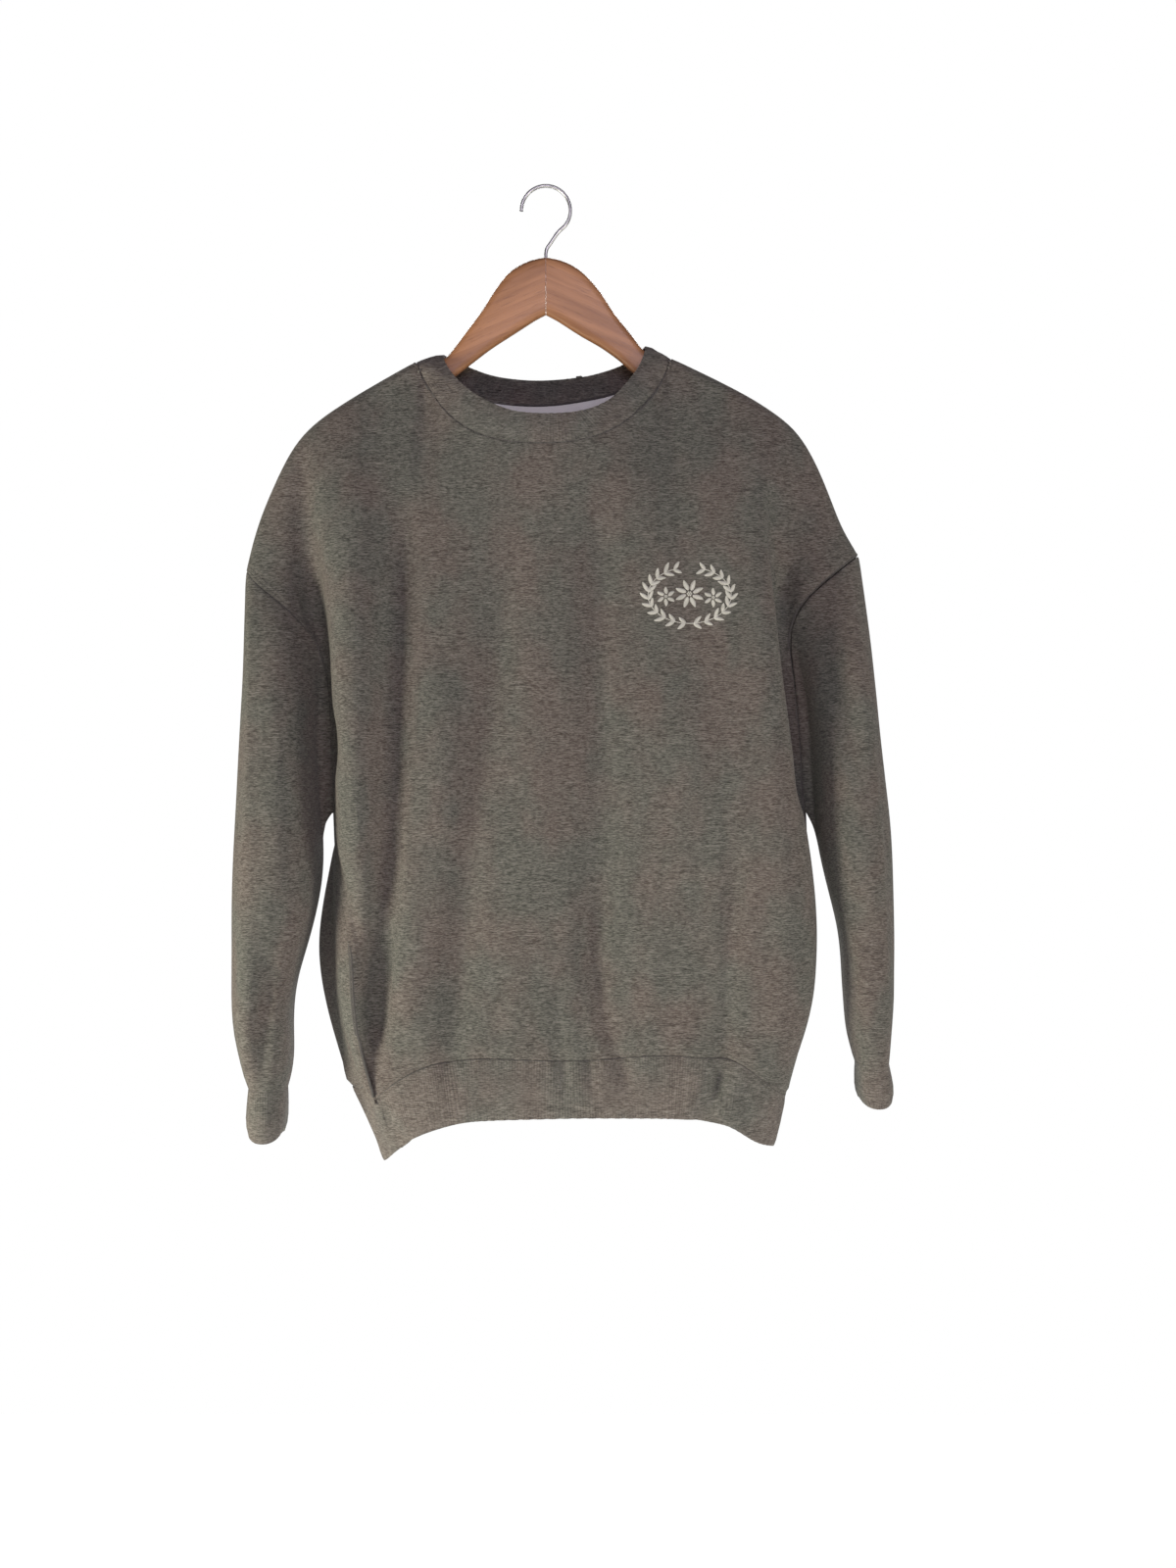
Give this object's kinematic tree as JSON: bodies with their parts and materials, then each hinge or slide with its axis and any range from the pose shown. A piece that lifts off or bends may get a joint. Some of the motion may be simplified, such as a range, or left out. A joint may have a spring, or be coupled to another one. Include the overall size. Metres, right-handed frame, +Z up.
{
  "type": "crewneck sweatshirt on wooden hanger",
  "caption": "Long-sleeved crewneck sweatshirt in grey melange fleece with dropped shoulders and rib bands, hanging open and empty on a flat wooden hanger.",
  "frame": {"origin": "top of the inside of the hanger's hook, where it bears on a rail", "axes": "+Z up, +X towards the wearer's left, front of the garment faces -Y"},
  "size_m": [0.5853, 0.1208, 0.8671],
  "materials": {
    "fleece": "grey melange jersey, matt",
    "rib": "grey melange rib knit, matt",
    "tape": "white twill tape",
    "wood": "satin varnish",
    "steel": "bright wire"
  },
  "bodies": {
    "root": {"front_panel": "fleece", "back_panel": "fleece", "sleeve_right": "fleece", "sleeve_left": "fleece", "neckband": "rib", "hem_band": "rib", "cuff_right": "rib", "cuff_left": "rib", "neck_tape": "tape", "hanger_arm_right": "wood", "hanger_arm_left": "wood", "hanger_hook": "steel"}
  },
  "joints": []
}
